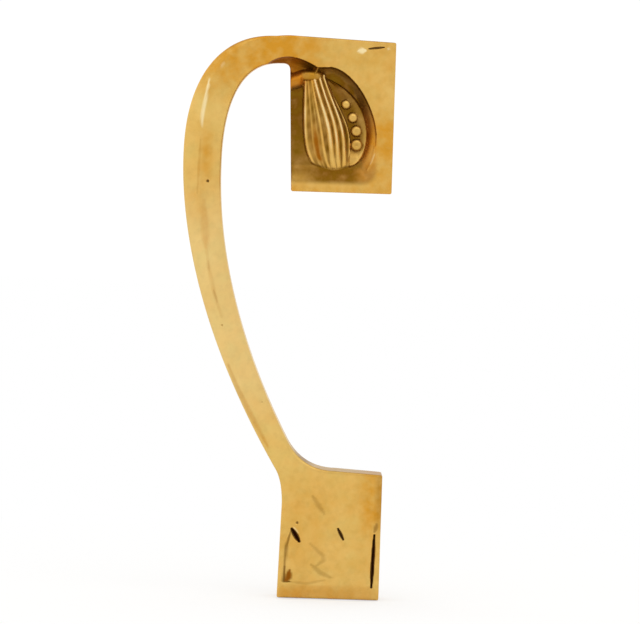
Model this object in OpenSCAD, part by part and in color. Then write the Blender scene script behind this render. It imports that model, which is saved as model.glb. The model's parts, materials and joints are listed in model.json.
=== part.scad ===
// Cast brass pull handle: a bowed bar between two feet that stand side-on to the door.
// The mounting plane is x = 0, the door lies beyond it at +x, and z is up.
// The face with the seed pod looks towards -y.

/* [Fixing] */
// Distance between the two fixing holes
fix_span = 150; // [130:1:180]
// Tapping size of the fixing holes, for an M6 thread
hole_d = 5; // [3:0.1:6]
// Depth of the fixing holes
hole_depth = 14; // [8:1:20]
// From the upper hole to the top of the handle
top_margin = 27; // [24:1:32]
// From the lower hole to the bottom of the handle
low_margin = 23; // [18:1:28]

/* [Feet] */
// Thickness of the casting from face to face
body_t = 16; // [13:0.5:22]
// Height of the top foot
top_foot_h = 55.2; // [50:0.2:62]
// Depth of the top foot where the arm joins it
top_foot_d = 37.3; // [35:0.1:40]
// Depth of the top foot at its lower end
top_foot_end_d = 35.7; // [33:0.1:38]
// Fall of the top edge towards the door
top_fall = 1.5; // [0:0.1:3]
// Height of the lower foot
low_foot_h = 46; // [38:0.5:54]
// Depth of the lower foot where the bar joins it
low_foot_d = 35.5; // [32:0.1:40]
// Depth of the lower foot at its bottom edge
low_foot_end_d = 36.3; // [33:0.1:40]
// Radius of the corners of both feet
corner_r = 0.8; // [0.4:0.1:2]

/* [Bar] */
// Reach of the bar from the mounting plane
projection = 74.3; // [68:0.1:82]
// From the top of the handle to the furthest point of the bar
flank_drop = 45; // [38:0.5:55]
// Width of the bar at its furthest point
bar_w = 13.8; // [11:0.1:17]
// From the top of the handle to the furthest point of the inner edge
inner_drop = 49; // [42:0.5:58]
// Depth of the arm where it meets the top foot
arm_t = 9.9; // [8:0.1:12]
// Straight run of the arm before the outer crown begins
arm_run = 5; // [2:0.5:8]
// Radius in the corner between the arm and the top foot
root_r = 2.5; // [1:0.1:4]
// How far outside the lower foot the outer sweep lands
toe = 2.6; // [1:0.1:5]
// Height over which the outer sweep turns into the lower foot
toe_h = 11; // [7:0.5:16]
// Where the inner sweep would land on the lower foot, from the mounting plane
inner_land = 28.1; // [24:0.1:32]
// Height of the fillet between the bar and the lower foot
fillet_h = 10.4; // [6:0.2:16]
// Run of that fillet along the top of the lower foot
fillet_run = 11.8; // [6:0.2:16]

/* [Edges] */
// Width of the sloping facet along the outer edge, at the furthest point
facet_w = 5.9; // [3:0.1:7]
// Slope of the facets in degrees
facet_slope = 28; // [15:1:35]
// Width of the softened inner edge of the bar
inner_soft_w = 1.6; // [0.6:0.1:2.5]
// Width of the bevel down the outer edge of the lower foot
foot_bevel_w = 2.2; // [0.8:0.1:4]
// Width of the bevel along the bottom of the lower foot
base_bevel_w = 4.8; // [1:0.1:7]
// Slope of the foot bevels in degrees
bevel_slope = 12; // [6:1:25]

/* [Pocket] */
// Face left between the pocket and the mounting plane
pocket_side = 5.8; // [4.5:0.1:8]
// Face left above the pocket beside the stem
pocket_top = 10.8; // [9:0.1:13]
// Height of the arch at the pocket's upper corner
arch_h = 24.5; // [18:0.5:30]
// Rise of the pocket's rim into the root of the arm
root_rise = 2.7; // [1.5:0.1:3.5]
// How far the pocket runs out under the arm
root_run = 5.5; // [3:0.5:8]
// Face left below the pocket
pocket_low = 3.5; // [2.5:0.1:6]
// Depth of the pocket at its upper end
pocket_d = 4; // [2.5:0.1:4.5]
// Depth of the pocket at its lower end
pocket_end_d = 3; // [2:0.1:3.8]
// Width of the sloping pocket wall
wall_run = 2.9; // [1.5:0.1:4]

/* [Seed pod] */
// Width of the seed pod
pod_w = 23; // [18:0.5:24]
// Length of the seed pod
pod_l = 33.4; // [28:0.2:35]
// Width of the stem
stem_w = 8; // [4:0.5:9]
// Height of the collar that the pod hangs from
collar_h = 3.6; // [2:0.1:4.5]
// Number of ribs on the pod
rib_count = 7; // [4:1:10]
// Height of the ribs
rib_h = 0.9; // [0.3:0.1:1.4]
// Height of the rim of the open husk above the pocket floor
husk_h = 1.9; // [1:0.1:2.6]
// Number of seeds in the open side of the pod
seed_count = 4; // [2:1:5]
// Diameter of the smallest seed
seed_d = 2.8; // [2:0.1:3.2]
// Diameter of the largest seed
seed_big_d = 3.8; // [3.2:0.1:4.2]

/* [Hidden] */
brass = "goldenrod";
half_t = body_t / 2;
// Overshoot of the cutting solids past the surfaces they cut, and of the facets past their ridge
over = 1;
ridge_over = 0.05;
// Facet counts of the curves
crown_steps = 20;
sweep_steps = 30;
corner_steps = 4;
fillet_steps = 8;
// Exponents of the rounded crowns, 2 being an ellipse
crown_n = 2.35;
inner_n = 2.5;
arch_n = 1.65;
// Powers of the long sweeps, 2 being a parabola
sweep_pow = 1.85;
inner_pow = 1.92;
z_top = fix_span / 2 + top_margin;
z_low = -fix_span / 2 - low_margin;
top_foot_z = z_top - top_foot_h;
low_foot_z = z_low + low_foot_h;
z_far = z_top - flank_drop;
z_in = z_top - inner_drop;
x_in = -projection + bar_w;
crown_run = projection - top_foot_d - arm_run;
arm_z = z_top - arm_t;
sweep_h = z_far - low_foot_z;
sweep_run = projection - low_foot_d - toe;
inner_h = z_in - low_foot_z;
inner_run = projection - bar_w - inner_land;

// Point on a curve with two ends and one control point
function quad(a, c, b, t) = a * (1 - t) * (1 - t) + c * 2 * t * (1 - t) + b * t * t;

// Point on a curve with two ends and two control points
function cubic(p, t) =
    p[0] * pow(1 - t, 3) + p[1] * 3 * t * pow(1 - t, 2) + p[2] * 3 * t * t * (1 - t) + p[3] * pow(t, 3);

// Quarter of a rounded rectangle-like curve of exponent n, unit size
function quarter(a, n) = [pow(cos(a), 2 / n), pow(sin(a), 2 / n)];

function unit(v) = v / norm(v);

// Corner at c, rounded with radius r between its neighbours a and b
function rounded(a, c, b, r) =
    let (p = c + unit(a - c) * r, q = c + unit(b - c) * r)
    [for (i = [0:corner_steps]) quad(p, c, q, i / corner_steps)];

// Outer edge of the bar, from the arm over the crown and down the long sweep
outer_crown = [
    for (i = [0:crown_steps])
        let (k = quarter(90 * (1 - i / crown_steps), crown_n))
        [-projection + crown_run * (1 - k[0]), z_far + flank_drop * k[1]]
];
outer_sweep = [
    for (i = [1:sweep_steps])
        let (t = i / sweep_steps)
        [-projection + sweep_run * pow(t, sweep_pow), z_far - sweep_h * t]
];
// Turn of the outer edge into the lower foot
toe_slope = sweep_pow * sweep_run / sweep_h;
toe_start = [-low_foot_d - toe, low_foot_z];
toe_end = [-low_foot_d, low_foot_z - toe_h];
toe_mid = [-low_foot_d, low_foot_z - toe / toe_slope];
toe_curve = [for (i = [1:fillet_steps]) quad(toe_start, toe_mid, toe_end, i / fillet_steps)];

// Inner edge of the bar, from the fillet up the sweep and over to the arm
fillet_t = 1 - fillet_h / inner_h;
fillet_slope = inner_pow * inner_run * pow(fillet_t, inner_pow - 1) / inner_h;
fillet_start = [x_in + inner_run * pow(fillet_t, inner_pow), low_foot_z + fillet_h];
fillet_mid = [fillet_start[0] + fillet_slope * fillet_h, low_foot_z];
fillet_end = fillet_mid + [fillet_run, 0];
fillet_curve = [
    for (i = [0:fillet_steps]) quad(fillet_end, fillet_mid, fillet_start, i / fillet_steps)
];
inner_sweep = [
    for (i = [1:sweep_steps])
        let (t = fillet_t * (1 - i / sweep_steps))
        [x_in + inner_run * pow(t, inner_pow), z_in - inner_h * t]
];
root_x = -top_foot_d - root_r;
inner_crown = [
    for (i = [1:crown_steps])
        let (k = quarter(90 * i / crown_steps, inner_n))
        [root_x - (root_x - x_in) * k[0], z_in + (arm_z - z_in) * k[1]]
];
root_corner = [-top_foot_d, arm_z];
root_curve = rounded([root_x, arm_z], root_corner, [-top_foot_d, top_foot_z], root_r);

// Corners of the feet
top_apex = [-top_foot_d, z_top];
top_door = [0, z_top - top_fall];
top_base_door = [0, top_foot_z];
top_base_out = [-top_foot_end_d, top_foot_z];
low_head_door = [0, low_foot_z];
low_base_door = [0, z_low];
low_base_out = [-low_foot_end_d, z_low];

// The whole side-on outline, anticlockwise from the top
outline = concat(
    [top_apex],
    outer_crown,
    outer_sweep,
    toe_curve,
    rounded(toe_end, low_base_out, low_base_door, corner_r),
    rounded(low_base_out, low_base_door, low_head_door, corner_r),
    rounded(low_base_door, low_head_door, fillet_end, corner_r),
    fillet_curve,
    inner_sweep,
    inner_crown,
    root_curve,
    rounded(root_corner, top_base_out, top_base_door, corner_r),
    rounded(top_base_out, top_base_door, top_door, corner_r),
    rounded(top_base_door, top_door, top_apex, corner_r)
);

// Point in space from a place in the side view and a depth
function deep(p, y) = [p[0], y, p[1]];

// Direction into the metal at point i of an anticlockwise path
function inward(path, i) =
    let (d = unit(path[min(i + 1, len(path) - 1)] - path[max(i - 1, 0)]))
    [-d[1], d[0]];

// Solid through a row of closed rings that all have the same number of points
module skin(rings) {
    n = len(rings[0]);
    last = (len(rings) - 1) * n;
    polyhedron(
        points = [for (ring = rings) for (p = ring) p],
        faces = concat(
            [[for (j = [0:n - 1]) j]],
            [
                for (i = [0:len(rings) - 2]) for (j = [0:n - 1])
                    let (a = i * n + j, b = i * n + (j + 1) % n)
                    each [[a, a + n, b], [b, a + n, b + n]]
            ],
            [[for (j = [n - 1:-1:0]) last + j]]
        )
    );
}

// Wedge along an edge that leaves a facet, as wide at each point as widths says
module edge_wedge(path, widths, slope) {
    rise = tan(slope);
    skin([
        for (i = [0:len(path) - 1])
            let (
                p = path[i],
                n = inward(path, i),
                w = widths[i],
                high = -half_t - ridge_over * rise
            )
            [
                deep(p - n * over, -half_t + (w + over) * rise),
                deep(p + n * (w + ridge_over), high),
                deep(p - n * over, high)
            ]
    ]);
}

// Facet along the outer edge: it grows over the crown and fades down the sweep
facet_path = concat(outer_crown, outer_sweep);
fade_pow = 1.7;
fade_off = -0.3;
facet_widths = concat(
    [for (i = [0:crown_steps]) i == 0 ? fade_off : facet_w * i / crown_steps],
    [
        for (i = [1:sweep_steps])
            i == sweep_steps ? fade_off : facet_w * (1 - pow(i / sweep_steps, fade_pow))
    ]
);

// Softened inner edge, from the lower fillet round to the arm
soft_path = concat(fillet_curve, inner_sweep, inner_crown);
soft_last = len(soft_path) - 1;
soft_widths = [
    for (i = [0:soft_last])
        i == 0 || i == soft_last ? fade_off : inner_soft_w * pow(sin(180 * i / soft_last), 0.5)
];

// Straight bevel between two corners, run past both of them
module straight_bevel(a, b, w) {
    d = unit(b - a) * over;
    edge_wedge([a - d, b + d], [w, w], bevel_slope);
}

// Depth of the pocket floor below the face at height z
floor_high = z_top - pocket_top;
floor_low = top_foot_z + pocket_low;
function floor_y(z) =
    -half_t + pocket_d + (pocket_end_d - pocket_d) * (floor_high - z) / (floor_high - floor_low);

// Seed pod, placed by the centre of its stem, with a blunt tip between its two corners
tip_left = [0.11 * pod_w, -0.945 * pod_l];
tip_right = [0.52 * pod_w, -0.965 * pod_l];
// How far the tip bows down between the corners, and how late down the pod it does so
tip_bow = 0.045 * pod_l;
bow_pow = 4;
stem_half = [stem_w / 2, 0];
rib_left = [
    -stem_half,
    [-0.16 * pod_w, -0.4 * pod_l],
    [-0.2 * pod_w, -0.73 * pod_l],
    tip_left
];
rib_right = [
    stem_half,
    [0.42 * pod_w, -0.4 * pod_l],
    [0.66 * pod_w, -0.48 * pod_l],
    tip_right
];
husk_right = [
    stem_half + [0.01 * pod_w, -0.01 * pod_l],
    [1.07 * pod_w, -0.23 * pod_l],
    [0.91 * pod_w, -0.945 * pod_l],
    tip_right
];
pod_gap = 0.7;
pod_reach = cubic(husk_right, 0.5)[0];
stem_drop = 4.6;
stem = [-pocket_side - wall_run - pod_gap - pod_reach, arm_z - stem_drop];

// Outline of the pocket, set in from its rim by side and low
pocket_corner = 4;
pocket_left = -top_foot_d - 2 * over;
pocket_z = z_top - pocket_top;
arch_z = pocket_z - arch_h;
arch_x = stem[0] + 1.5 * stem_w / 2;
arch_steps = 10;
rim_steps = 6;
rim_start = [stem[0] + 1, pocket_z - 0.2];
rim_peak = [-top_foot_d - root_r / 2, arm_z + 2 * root_rise];
rim_end = [root_x - root_run, arm_z - 0.3];
function pocket_ring(side, low, y_of) =
    let (
        xr = -pocket_side - side,
        zb = top_foot_z + pocket_low + low,
        zt = pocket_z - side,
        drop = [0, -side],
        flat = concat(
            [[pocket_left, zb]],
            rounded([pocket_left, zb], [xr, zb], [xr, arch_z], pocket_corner + side),
            [
                for (i = [0:arch_steps])
                    let (k = quarter(90 * i / arch_steps, arch_n))
                    [arch_x + (xr - arch_x) * k[0], arch_z + (zt - arch_z) * k[1]]
            ],
            [
                for (i = [0:rim_steps])
                    quad(rim_start, rim_peak, rim_end, i / rim_steps) + drop
            ],
            [rim_end + drop - [0, 2 * over]]
        )
    )
    [for (p = flat) deep(p, y_of(p[1]))];

module pocket() {
    skin([
        pocket_ring(wall_run, wall_run, function(z) floor_y(z)),
        pocket_ring(0, 0, function(z) -half_t),
        pocket_ring(0, 0, function(z) -half_t - over)
    ]);
}

// Ribbed body of the pod
rib_rows = 22;
rib_columns = 4 * rib_count;
pod_end = 0.985;
// Height of the collar's middle above the top of the pod, which ends inside it
collar_rise = 0.3 * collar_h;
// How far the pod reaches into the floor, at its edge and under it
skirt = 0.2;
sink = 1.5;
// Height of the pod at the stem as a share of its full height, and how far down it reaches that
swell_from = 0.62;
swell_run = 0.35;
function pod_swell(t) =
    sqrt(1 - pow(t, 5)) * (swell_from + (1 - swell_from) * sin(90 * min(1, t / swell_run)));
function rib_wave(v) = pow(0.5 - 0.5 * cos(360 * rib_count * v), 1.2);
module ribbed_body() {
    skin([
        for (i = [rib_rows:-1:-1])
            let (
                t = pod_end * max(i, 0) / rib_rows,
                up = i < 0 ? [0, collar_rise] : [0, 0],
                a = stem + up + cubic(rib_left, t),
                b = stem + up + cubic(rib_right, t),
                crest = (half_t + floor_y(a[1]) - rib_h) * pod_swell(t)
            )
            concat(
                [deep(a, floor_y(a[1]) + sink)],
                [
                    for (j = [0:rib_columns])
                        let (
                            v = j / rib_columns,
                            bow = tip_bow * pow(t, bow_pow) * sin(180 * v),
                            p = a + (b - a) * v - [0, bow],
                            dome = pow(sin(180 * v), 0.7),
                            rib = rib_h * rib_wave(v) * min(1, 3 * sin(180 * v)) * pod_swell(t)
                        )
                        deep(p, floor_y(p[1]) + skirt - (crest + skirt) * dome - rib)
                ],
                [deep(b, floor_y(b[1]) + sink)]
            )
    ]);
}

// Rounded collar that the pod hangs from, out to the side of the foot
collar_steps = 8;
collar_top = 0.6;
// Where it starts inside the foot's side, and how far past the stem's middle it runs
collar_inset = 0.3;
collar_past = 0.7 * stem_w;
// Its height at the ends as a share of the middle's, and how far that middle is moved outwards
collar_ends = 0.55;
collar_lean = 0.15;
module collar() {
    start = -top_foot_d + collar_inset;
    end = stem[0] + collar_past;
    skin([
        for (i = [0:collar_steps])
            let (
                t = i / collar_steps,
                x = start + (end - start) * t,
                z = stem[1] + collar_rise,
                r = collar_h / 2 * pow(1 - pow(t, 4), 0.5) + skirt,
                top = -half_t + collar_top,
                mid = sin(180 * min(1, t + collar_lean)),
                h = (floor_y(z) - top) * (collar_ends + (1 - collar_ends) * mid)
            )
            concat(
                [deep([x, z + r], floor_y(z) + sink)],
                [
                    for (j = [0:collar_steps])
                        let (a = 180 * j / collar_steps)
                        deep([x, z + r * cos(a)], floor_y(z) + skirt - (h + skirt) * sin(a))
                ],
                [deep([x, z - r], floor_y(z) + sink)]
            )
    ]);
}

// Open husk beside the ribs: a shallow channel with a raised rim
husk_rows = 18;
husk_columns = 8;
husk_start = 0.04;
channel_h = 0.5;
rim_at = 0.8;
fill_from = 0.7;
// Rise of the channel's bed where the husk closes towards the tip
function channel_fill(t) = t < fill_from ? 0 : pow(sin(90 * (t - fill_from) / (1 - fill_from)), 2);
function husk_profile(w, t) =
    w > rim_at ? husk_h * sqrt((1 - w) / (1 - rim_at))
               : channel_h + (husk_h - channel_h) * max(pow(w / rim_at, 3), channel_fill(t));
module husk() {
    skin([
        for (i = [husk_rows:-1:0])
            let (
                t = husk_start + (pod_end - husk_start) * i / husk_rows,
                a = stem + (cubic(rib_left, t) + 3 * cubic(rib_right, t)) / 4,
                b = stem + cubic(husk_right, t)
            )
            concat(
                [deep(a, floor_y(a[1]) + sink)],
                [
                    for (j = [0:husk_columns])
                        let (w = j / husk_columns, p = a + (b - a) * w)
                        deep(p, floor_y(p[1]) + skirt - (husk_profile(w, t) + skirt) * pod_swell(t))
                ],
                [deep(b, floor_y(b[1]) + sink)]
            )
    ]);
}

// Row of seeds that grow towards the tip
module seeds() {
    first = stem + [0.5 * pod_w, -0.28 * pod_l];
    bend = stem + [0.776 * pod_w, -0.55 * pod_l];
    last = stem + [0.64 * pod_w, -0.86 * pod_l];
    for (i = [0:seed_count - 1]) {
        t = i / seed_count;
        p = quad(first, bend, last, t);
        r = (seed_d + (seed_big_d - seed_d) * t) / 2;
        translate(deep(p, floor_y(p[1]) - channel_h - 0.4 * r)) sphere(r = r, $fn = 24);
    }
}

// Blind hole that a fixing bolt screws into from behind the door
module fixing_hole(z) {
    translate([over, 0, z])
        rotate([0, -90, 0])
            cylinder(h = hole_depth + over, d = hole_d, $fn = 48);
}

// The side-on outline at full thickness, with the pocket sunk in its face
module blank() {
    difference() {
        rotate([90, 0, 0])
            linear_extrude(height = body_t, center = true)
                polygon(outline);
        pocket();
    }
}

// The relief is built up one piece at a time
module blank_with_ribs() {
    blank();
    ribbed_body();
}

module blank_with_collar() {
    blank_with_ribs();
    collar();
}

module blank_with_husk() {
    blank_with_collar();
    husk();
}

module blank_with_seeds() {
    blank_with_husk();
    seeds();
}

module edge_cuts() {
    edge_wedge(facet_path, facet_widths, facet_slope);
    edge_wedge(soft_path, soft_widths, facet_slope);
    straight_bevel(toe_end, low_base_out, foot_bevel_w);
    straight_bevel(low_base_out, low_base_door, base_bevel_w);
    straight_bevel(low_base_door, low_head_door, foot_bevel_w);
}

module handle() {
    color(brass)
        difference() {
            blank_with_seeds();
            edge_cuts();
            mirror([0, 1, 0]) edge_cuts();
            fixing_hole(fix_span / 2);
            fixing_hole(-fix_span / 2);
        }
}

handle();
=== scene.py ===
import json
import math
from collections import namedtuple
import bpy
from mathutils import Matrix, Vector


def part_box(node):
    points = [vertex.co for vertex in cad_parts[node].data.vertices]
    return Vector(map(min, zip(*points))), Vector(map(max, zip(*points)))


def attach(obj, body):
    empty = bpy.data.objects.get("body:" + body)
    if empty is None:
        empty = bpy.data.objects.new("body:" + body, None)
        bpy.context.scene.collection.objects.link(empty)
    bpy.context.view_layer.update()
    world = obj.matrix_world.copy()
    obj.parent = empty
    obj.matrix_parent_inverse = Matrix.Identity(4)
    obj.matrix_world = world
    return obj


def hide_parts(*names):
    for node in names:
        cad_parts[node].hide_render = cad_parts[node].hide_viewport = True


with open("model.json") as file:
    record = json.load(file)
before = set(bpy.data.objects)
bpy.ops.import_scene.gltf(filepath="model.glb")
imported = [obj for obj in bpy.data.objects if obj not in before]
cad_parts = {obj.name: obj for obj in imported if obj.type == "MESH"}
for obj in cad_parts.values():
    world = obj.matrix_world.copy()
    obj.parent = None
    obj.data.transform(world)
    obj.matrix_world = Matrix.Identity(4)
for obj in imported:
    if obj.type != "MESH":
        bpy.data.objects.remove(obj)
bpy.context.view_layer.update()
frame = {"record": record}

from types import SimpleNamespace

import bpy
import numpy as np
from bpy.props import FloatProperty, FloatVectorProperty, PointerProperty
from bpy.types import Operator, Panel, PropertyGroup
from mathutils import Euler, Vector

bl_info = {
    "name": "Cast Pull Handle",
    "version": (1, 0, 0),
    "blender": (4, 5, 0),
    "location": "3D View > Sidebar > Handle",
    "description": "Casts, polishes and lights a bowed brass pull handle with a seed pod in relief",
    "category": "Add Mesh",
}

# The overall sizes come from the frame: the mounting plane is x = 0 and the decorated face looks to -y
LOW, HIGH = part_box("handle")
FIXING = frame["record"]["mounts"][0]["dims"]
MM = 0.001


def linear(code):
    """Linear colour from an sRGB hex value."""
    parts = [(code >> shift & 255) / 255 for shift in (16, 8, 0)]
    return [c / 12.92 if c <= 0.04045 else ((c + 0.055) / 1.055) ** 2.4 for c in parts] + [1.0]


def length(name, text, mm):
    """A length property, written in millimetres and kept in metres."""
    return FloatProperty(name=name, description=text, default=mm * MM, unit="LENGTH", precision=5)


def angle(name, text, degrees):
    """An angle property, written in degrees."""
    return FloatProperty(
        name=name, description=text, default=math.radians(degrees), subtype="ANGLE"
    )


def colour(name, text, code):
    """A colour property, written as an sRGB hex value."""
    return FloatVectorProperty(
        name=name, description=text, default=linear(code), size=4, subtype="COLOR", min=0, max=1
    )


class HandleSizes(PropertyGroup):
    """Sizes of the casting's outline and of its edges"""

    top_foot_h: length("Top foot height", "Height of the top foot", 55.2)
    top_foot_d: length("Top foot depth", "Depth of the top foot where the arm joins it", 37.3)
    top_foot_end_d: length("Top foot end depth", "Depth of the top foot at its lower end", 35.7)
    top_fall: length("Top fall", "Fall of the top edge towards the door", 1.5)
    arm_fall: length("Arm fall", "Fall of the top edge from the top foot to the outer crown", 0.35)
    low_foot_h: length("Lower foot height", "Height of the lower foot beside the bar", 45.8)
    ledge_fall: length("Ledge fall", "Fall of the lower foot's top towards the door", 1)
    low_foot_d: length("Lower foot depth", "Depth of the lower foot where the bar joins it", 35.5)
    low_foot_end_d: length("Lower foot end depth", "Depth of the lower foot at its bottom", 36.3)
    flank_drop: length("Outer flank drop", "From the top to the furthest point of the bar", 45)
    inner_drop: length("Inner flank drop", "From the top to the furthest point of the inner edge", 49)
    bar_w: length("Bar width", "Width of the bar at its furthest point", 13.5)
    arm_t: length("Arm depth", "Depth of the arm where it meets the top foot", 9.9)
    arm_run: length("Arm run", "Straight run of the arm before the outer crown", 5)
    root_r: length("Root radius", "Radius in the corner between the arm and the top foot", 2.5)
    toe: length("Toe", "How far outside the lower foot the outer sweep lands", 2.6)
    toe_h: length("Toe height", "Height over which the outer sweep turns into the foot", 13)
    inner_land: length("Inner landing", "Where the inner sweep would land on the lower foot", 28.4)
    fillet_h: length("Fillet height", "Height of the fillet above the lower foot", 10.6)
    fillet_run: length("Fillet run", "Run of the fillet along the lower foot", 11.8)
    facet_w: length("Facet width", "Width of the facet along the outer edge", 5.9)
    facet_slope: angle("Facet slope", "Slope of the facets along the bar", 28)
    soft_w: length("Inner softening", "Width of the softened inner edge of the bar", 1.6)
    foot_bevel_w: length("Foot bevel", "Width of the bevels down the lower foot", 2.2)
    base_bevel_w: length("Base bevel", "Width of the bevel along the bottom", 4.8)
    bevel_slope: angle("Bevel slope", "Slope of the bevels on the lower foot", 12)
    edge_r: length("Edge radius", "Radius that polishing has left on the edges", 0.6)
    hole_d: length("Hole diameter", "Tapping size of the fixing holes", 5)
    hole_depth: length("Hole depth", "Depth of the fixing holes", 14)


class PodSizes(PropertyGroup):
    """Sizes of the pocket in the top foot and of the seed pod in it"""

    pocket_side: length("Side land", "Face left between the pocket and the door", 5.8)
    pocket_top: length("Top land", "Face left above the pocket beside the stem", 10.8)
    pocket_low: length("Bottom land", "Face left below the pocket", 3.5)
    pocket_d: length("Depth at the top", "Depth of the pocket at its upper end", 4)
    pocket_end_d: length("Depth at the bottom", "Depth of the pocket at its lower end", 3)
    arch_h: length("Arch height", "Height of the arch at the pocket's upper corner", 24.5)
    root_rise: length("Root rise", "Rise of the pocket's rim into the root of the arm", 2.7)
    root_run: length("Root run", "How far the pocket runs out under the arm", 5.5)
    wall_run: length("Wall width", "Width of the pocket's sloping wall", 2.9)
    foot_run: length("Foot slope", "Width of the soft slope along the pocket's foot", 6.5)
    stem_x: length("Stem place", "From the door to the middle of the stem", 28.6)
    stem_drop: length("Stem drop", "From the top of the handle to the top of the pod", 14.5)
    stem_w: length("Stem width", "Width of the stem", 8)
    pod_w: length("Pod width", "Width of the whole pod", 23)
    pod_l: length("Pod length", "Length of the pod", 33.4)
    rib_h: length("Rib height", "Height of the ribs on the pod", 1)
    husk_h: length("Husk height", "Height of the rim of the open husk", 1.9)
    seed_d: length("Smallest seed", "Diameter of the smallest seed", 3.5)
    seed_big_d: length("Largest seed", "Diameter of the largest seed", 4.6)


class BrassColours(PropertyGroup):
    """Colours of the brass and of what lies on it"""

    bright: colour("Bright brass", "Freshly rubbed brass", 0xE2BC6C)
    warm: colour("Warm brass", "Brass that has toned to orange", 0xD2942E)
    pale: colour("Pale brass", "Greener brass in faint patches", 0xD6BA6A)
    # Also the colour of painted highlights: the streak on the bar's ridge, bright spots and the rib crests
    wear_and_highlight: colour("Worn brass", "Palest brass, where hands have rubbed it", 0xFFF0C0)
    # Also the colour of painted shade under the pocket's rim, round the pod and on the knob
    patina: colour("Patina", "Brown tone left in the hollows", 0x6E4107)
    olive: colour("Olive patina", "Greener tone left in the hollows", 0x7C5812)
    rust: colour("Rust", "Orange brown tone on the pocket's wall and in the marks", 0xB86C16)
    # Also the colour of the darkest painted shade, under the root of the arm and round the pod
    grime_and_shade: colour("Grime", "Dried polish and dirt in the gouges", 0x2E0F03)
    floor: colour("Floor", "Pale floor under the handle", 0xF4F3F0)


class StageSizes(PropertyGroup):
    """Sizes of the floor, the lamps and the camera"""

    distance: length("Camera distance", "From the camera to the decorated face", 1500)
    camera_z: length("Camera height", "Height of the camera above the handle's middle", 70)
    camera_x: length("Camera side", "Sideways place of the camera", -37)
    tilt: angle("Camera tilt", "How far the camera looks down", 2.51)
    pan: angle("Camera pan", "How far the camera turns to the right", 0.415)
    roll: angle("Camera roll", "How far the camera leans to the left", 1.816)
    lens: FloatProperty(name="Lens", description="Focal length in millimetres", default=237.9, min=1)
    floor_drop: length("Floor drop", "Gap between the handle and the floor", 0.3)
    floor_size: length("Floor size", "Length of the floor's sides", 6000)


def millimetres(group):
    """The lengths of a property group in millimetres, and its angles as they are."""
    values = {}
    for name in group.__annotations__:
        is_angle = group.bl_rna.properties[name].subtype == "ANGLE"
        values[name] = getattr(group, name) / (1 if is_angle else MM)
    return values


# Cells across the bar, the column that follows its ridge, and cells along each stretch of the outline
ACROSS, RIDGE_COLUMN = 20, 8
ARM_CELLS, CROWN_CELLS, SWEEP_CELLS = 8, 72, 116
FILLET_CELLS, LEDGE_CELLS, MOUNT_CELLS = 18, 14, 34
# Cells up and across the top foot, and from one face of the handle to the other
FOOT_ROWS, FOOT_COLUMNS, DEPTH_STEPS = 64, 56, 8
# Width in millimetres of the cell next to each edge, which leaves room for the edge's radius
EDGE_CELL = 1.0
# Beside the ledge the lines meet the edge at a slant: how much longer that cell is there, and over
# how many lines it grows
SLANT_GROWTH, SLANT_LINES = 1.1, 8
# Widths of the facet between which its ridge takes over its own column
RIDGE_WIDTHS = (1.2, 2.6)
# Exponents of the rounded crowns, 2 being an ellipse, and powers of the sweeps, 2 being a parabola
CROWN_N, INNER_N, ARCH_N = 2.35, 2.5, 1.65
SWEEP_POW, INNER_POW, FADE_POW = 1.85, 1.92, 1.7
# How softly the facet, the inner edge and the lower foot's bevels run into the face, in mm
FACET_SOFT, INNER_SOFT, BEVEL_SOFT = 0.1, 0.2, 0.08
# Edges sharper than this are rounded, and vertices nearer than this (mm) are one
SHARP, WELD = math.radians(50), 0.02
# Faces less deep than this (mm) belong to the decorated face, and how often their edges are cut where the
# mesh is made finer
FACE_DEPTH, FINER_CUTS = 1.0, 2
# Metric coarse thread of the fixing holes, and how finely its tap is drawn
THREAD_PITCH = 1.0
TAP_SIDES, TAP_RINGS = 28, 6
# How far the countersunk mouth of each hole stands out all round
MOUTH = 1.0
# Radius of the pocket's lower corner, and how far its outline runs out past the open side
POCKET_CORNER = 5.5
OPEN_RUN = 4
# Cells round the pocket's arch, its lower corner and its root under the arm
ARCH_CELLS, CORNER_CELLS, ROOT_CELLS = 24, 8, 16
# How far beside the stem the arch starts, as a share of the stem's width, where the root starts from the
# stem and the pocket's top, and how far below the arm it ends, in mm
ARCH_START, ROOT_START, ROOT_END_DROP = 0.75, (1, -0.2), 0.3
# Bed of the channel that holds the seeds, above the pocket's floor
CHANNEL_H = 0.5
SEED_COUNT = 4
# How far down the pod its ribbed side ends at the left, at the right and bowed out between them
TIP_LEFT, TIP_RIGHT, TIP_BOW = 0.92, 0.94, 0.058
# Controls of the pod's lines after their start, as shares of its width and length from its stem's top,
# and where the husk starts beside the stem
POD_LEFT = ((-0.16, -0.4), (-0.2, -0.73), (0, -TIP_LEFT))
POD_RIGHT = ((0.42, -0.4), (0.66, -0.48), (0.58, -TIP_RIGHT))
POD_HUSK = ((1.07, -0.23), (0.93, -0.92), (0.58, -TIP_RIGHT))
HUSK_START = (0.01, -0.01)
# Steps along each line and how many more two of them run past the tip, and the least widths between them
POD_CELLS, TIP_RUN, LEAST_RIBBED, LEAST_HUSK = 199, 40, 0.5, 0.3
# Start, middle control and end of the row of seeds, as shares of the pod's width and length
SEED_ROW = ((0.5, -0.28), (0.776, -0.55), (0.64, -0.86))
# How far the knob must stand out to show, how far the relief stays below the face, and the most tone
KNOB_CLEAR, LEAST_DEPTH, MOST_TONE = 0.25, 0.02, 1.5
# Middle of the knob from the stem's top, and its half size, in mm
KNOB_PLACE, KNOB_HALF = (-1.3, 0.4), (4.6, 2.3)
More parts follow.
